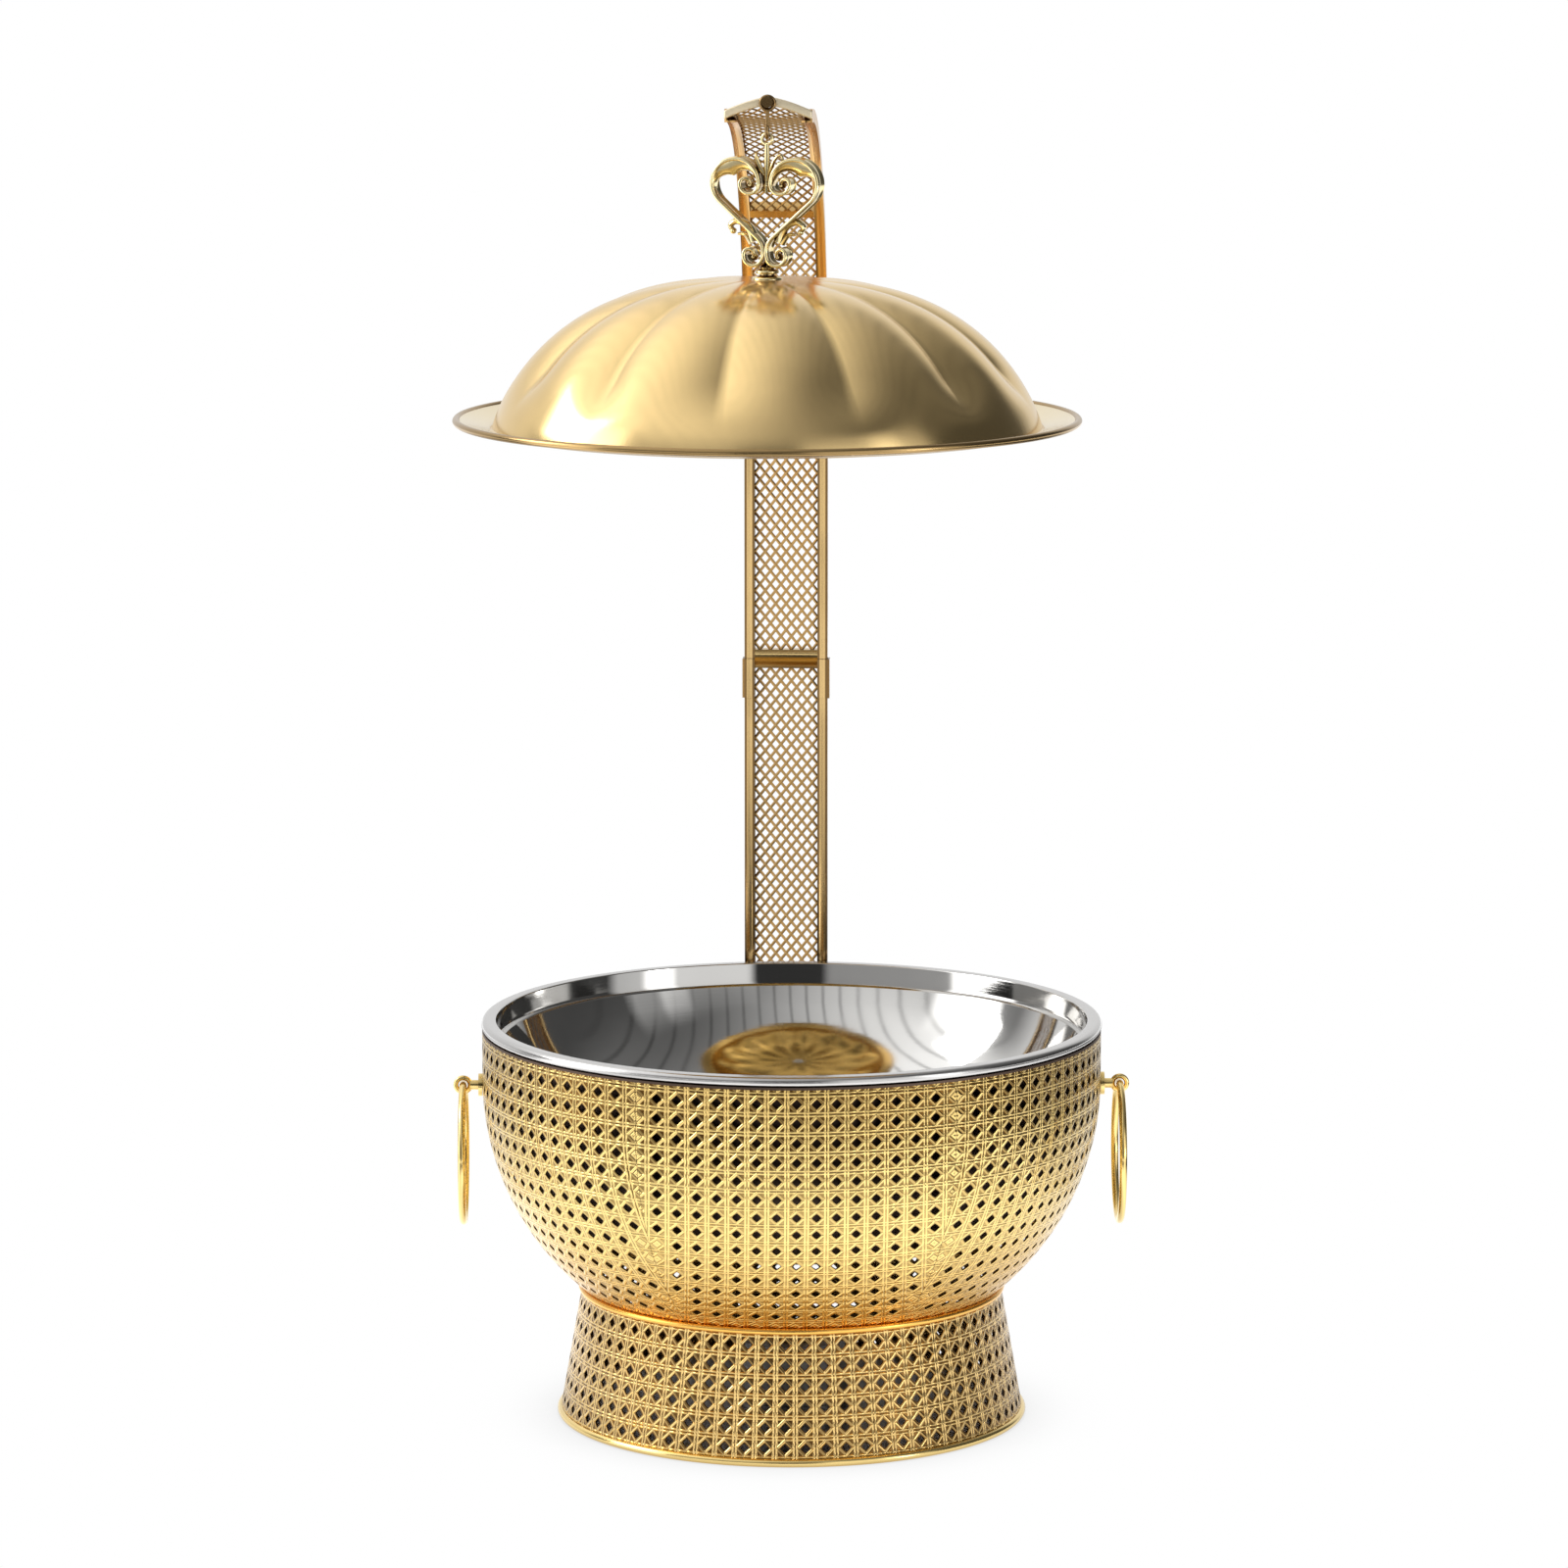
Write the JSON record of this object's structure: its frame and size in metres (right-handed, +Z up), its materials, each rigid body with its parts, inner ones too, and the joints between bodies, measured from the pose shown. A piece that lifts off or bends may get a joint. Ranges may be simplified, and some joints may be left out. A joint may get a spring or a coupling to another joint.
{
  "type": "chafing dish",
  "caption": "Round gold chafing dish with a perforated bowl and foot, nested steel pans, ring handles and a domed lid that hangs from a hook on a lattice arm.",
  "frame": {"origin": "on the table plane, on the axis of the bowl", "axes": "+Z up, -Y to the front, +X to the right seen from the front"},
  "size_m": [0.4148, 0.4117, 0.8103],
  "materials": {
    "bowl_gold": "polished gold plate",
    "foot_gold": "polished gold plate, slightly darker",
    "lid_gold": "satin brushed pale gold plate",
    "trim_gold": "polished gold plate",
    "arm_gold": "polished amber gold plate",
    "tip_gold": "satin pale gold plate",
    "lattice_bronze": "dark bronze",
    "hook_bronze": "polished bronze wire",
    "pan_steel": "mirror polished stainless steel with a satin rim",
    "fixing_steel": "plain steel",
    "burner_steel": "satin steel",
    "burner_brass": "satin brass"
  },
  "bodies": {
    "base": {"foot_ring": "foot_gold", "foot_shell": "foot_gold", "neck_ring": "trim_gold", "bowl_panel_1": "bowl_gold", "bowl_panel_2": "bowl_gold", "bowl_panel_3": "bowl_gold", "bowl_panel_4": "bowl_gold", "bowl_panel_5": "bowl_gold", "bowl_panel_6": "bowl_gold", "bowl_hoop": "trim_gold", "burner_tray": "burner_steel", "fuel_cup": "burner_steel", "fuel_cover": "burner_steel", "shutter_pin": "burner_brass", "handle_stud_left": "trim_gold", "handle_stud_right": "trim_gold", "stud_nuts": "fixing_steel", "rear_socket": "trim_gold", "socket_screws": "fixing_steel", "arm_screws": "fixing_steel", "lower_rail_left": "arm_gold", "lower_rail_right": "arm_gold", "lower_lattice": "lattice_bronze", "lower_end_bar": "arm_gold", "lower_top_bar": "arm_gold", "collar_left": "arm_gold", "collar_right": "arm_gold"},
    "water_pan": {"water_pan": "pan_steel"},
    "food_pan": {"food_pan": "pan_steel"},
    "shutter": {"fuel_shutter": "burner_brass"},
    "ring_left": {"ring_left": "trim_gold"},
    "ring_right": {"ring_right": "trim_gold"},
    "upper_arm": {"upper_rail_left": "arm_gold", "upper_rail_right": "arm_gold", "tongue_left": "fixing_steel", "tongue_right": "fixing_steel", "upper_foot_bar": "arm_gold", "upper_lattice": "lattice_bronze", "tip_lattice": "lattice_bronze", "arch_bar": "arm_gold", "tip_bar": "tip_gold", "hook_pin": "hook_bronze"},
    "hook": {"lid_hook": "hook_bronze"},
    "lid": {"lid_dome": "lid_gold", "finial_pedestal": "trim_gold", "finial_scroll_left": "trim_gold", "finial_scroll_right": "trim_gold", "finial_stem": "trim_gold", "finial_washer": "fixing_steel", "finial_nut": "fixing_steel"}
  },
  "joints": [
    {"name": "water_pan_lift", "type": "slide", "parent": "base", "child": "water_pan", "axis": [0, 0, 1], "range_m": [0, 0.15]},
    {"name": "food_pan_lift", "type": "slide", "parent": "water_pan", "child": "food_pan", "axis": [0, 0, 1], "range_m": [0, 0.12]},
    {"name": "shutter_swing", "type": "hinge", "parent": "base", "child": "shutter", "pos_m": [0.03, 0, 0.0479], "axis": [0, 0, 1], "range_deg": [0, 90]},
    {"name": "ring_left_swing", "type": "hinge", "parent": "base", "child": "ring_left", "pos_m": [-0.2015, 0, 0.205], "axis": [0, 1, 0], "range_deg": [-15, 170]},
    {"name": "ring_right_swing", "type": "hinge", "parent": "base", "child": "ring_right", "pos_m": [0.2015, 0, 0.205], "axis": [0, -1, 0], "range_deg": [-15, 170]},
    {"name": "upper_arm_lift", "type": "slide", "parent": "base", "child": "upper_arm", "axis": [0, 0, 1], "range_m": [0, 0.03]},
    {"name": "hook_sway", "type": "hinge", "parent": "upper_arm", "child": "hook", "pos_m": [-0.01454, -0.00099, 0.806], "axis": [0.0698, 0.9976, 0], "range_deg": [-12, 12]},
    {"name": "lid_swing", "type": "hinge", "parent": "hook", "child": "lid", "pos_m": [-0.01486, -0.00548, 0.7871], "axis": [0.9976, -0.0698, 0], "range_deg": [-20, 3]}
  ]
}
